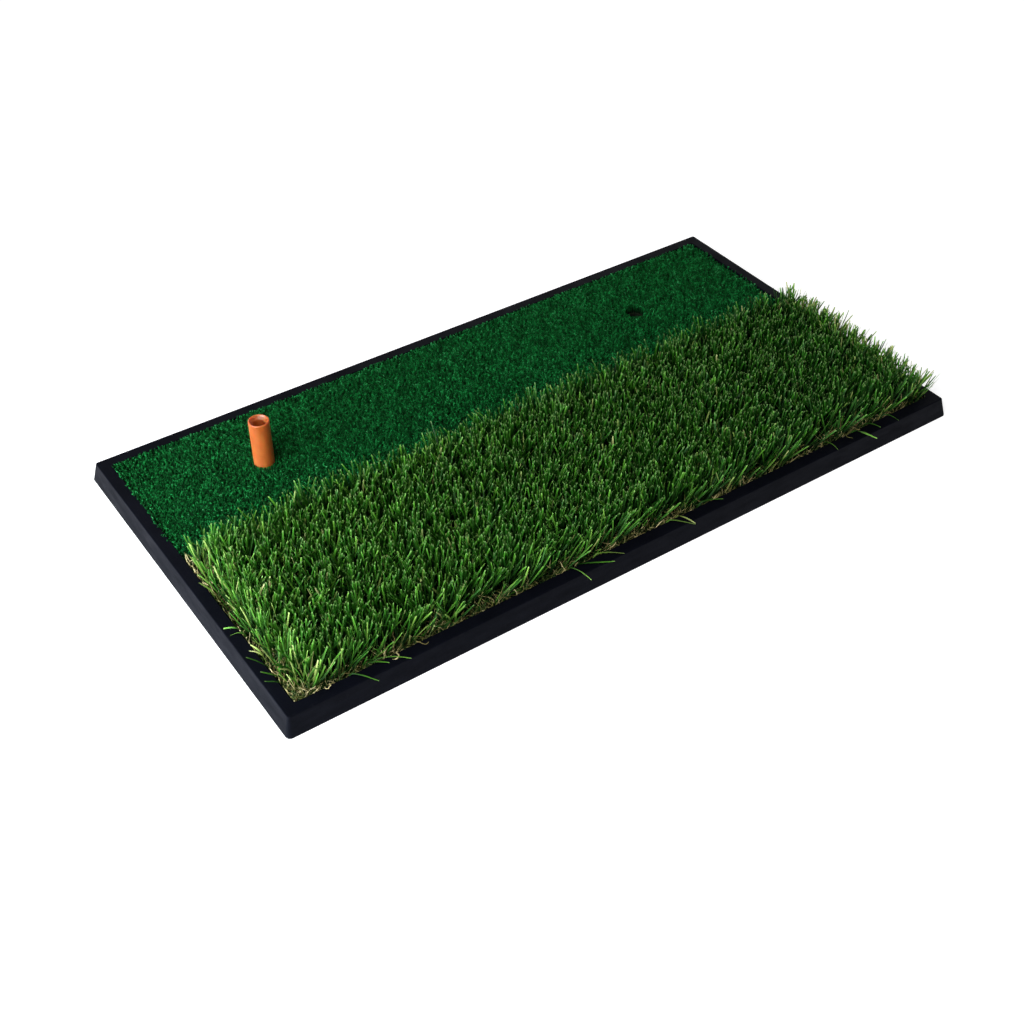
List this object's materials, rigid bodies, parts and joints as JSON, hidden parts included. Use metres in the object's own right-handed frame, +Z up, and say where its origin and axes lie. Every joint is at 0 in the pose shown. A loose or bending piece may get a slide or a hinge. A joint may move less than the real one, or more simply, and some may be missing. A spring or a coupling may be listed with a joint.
{
  "type": "golf hitting mat",
  "caption": "Moulded rubber tray holding a strip of short fairway turf and a strip of long rough turf, with a flexible rubber tube tee standing in the short turf and a spare tee hole.",
  "frame": {"origin": "centre of the underside, on the surface that the mat lies on", "axes": "+X along the mat's length and the line of the swing, away from the end where the tee stands; +Y from the long rough turf towards the short fairway turf; +Z up out of the turf"},
  "size_m": [0.6176, 0.3276, 0.0562],
  "materials": {
    "tray_rubber": "matte",
    "tee_rubber": "satin",
    "fairway_yarn": "satin",
    "rough_yarn": "satin",
    "thatch_yarn": "matte",
    "woven_backing": "matte",
    "latex": "matte",
    "adhesive": "satin"
  },
  "bodies": {
    "mat": {"base_tray": "tray_rubber", "fairway_adhesive": "adhesive", "fairway_latex_coat": "latex", "fairway_backing": "woven_backing", "fairway_pile": "fairway_yarn", "rough_adhesive": "adhesive", "rough_latex_coat": "latex", "rough_backing": "woven_backing", "rough_thatch": "thatch_yarn", "rough_blades": "rough_yarn"},
    "tee_foot": {"tee_base": "tee_rubber"},
    "tee_top": {"tee_stem": "tee_rubber"}
  },
  "joints": [
    {"name": "tee_pull", "type": "slide", "parent": "mat", "child": "tee_foot", "axis": [0, 0, 1], "range_m": [-0.062, 0]},
    {"name": "tee_flex", "type": "hinge", "parent": "tee_foot", "child": "tee_top", "pos_m": [-0.1945, 0.087, 0.027], "axis": [0, 1, 0], "range_deg": [-45, 45], "stiffness_Nm_per_rad": 0.4}
  ]
}
